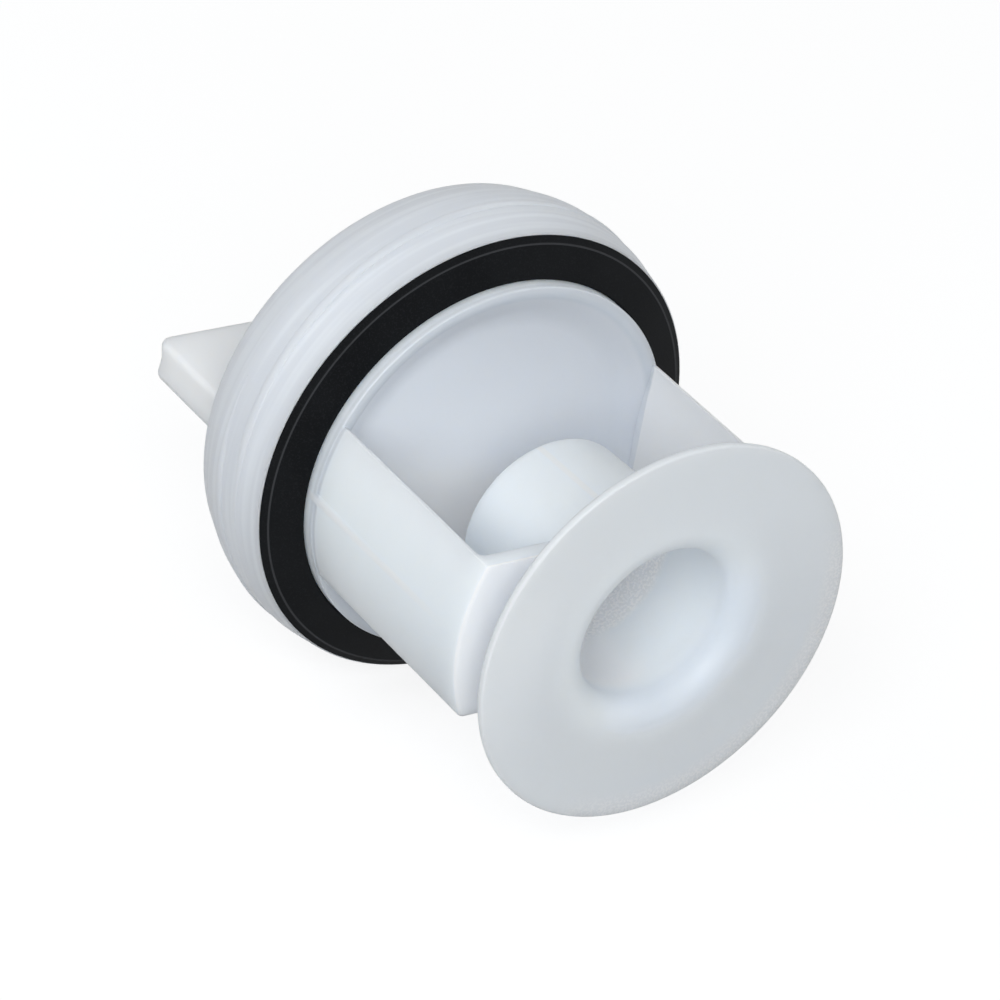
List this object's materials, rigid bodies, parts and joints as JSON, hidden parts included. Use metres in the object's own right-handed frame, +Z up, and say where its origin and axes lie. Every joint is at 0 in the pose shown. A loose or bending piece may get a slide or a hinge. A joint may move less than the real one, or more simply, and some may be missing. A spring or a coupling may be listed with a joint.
{
  "type": "washer pump filter",
  "caption": "Drain pump filter plug with a grip bar, hollow screw cap, wedge rubber ring, open two-arm cage and a nose disc with a blind cup.",
  "frame": {"origin": "on the long axis, at the back end of the thread on the cap's barrel", "axes": "+Y along the long axis towards the grip, so the nose points to -Y; the arms and the grip bar lie along X; +Z is up, with the cage open upwards"},
  "size_m": [0.066, 0.0784, 0.066],
  "materials": {
    "white_plastic": "satin natural-white polypropylene",
    "black_rubber": "matt moulded rubber"
  },
  "bodies": {
    "root": {"filter_body": "white_plastic", "sealing_ring": "black_rubber"}
  },
  "joints": []
}
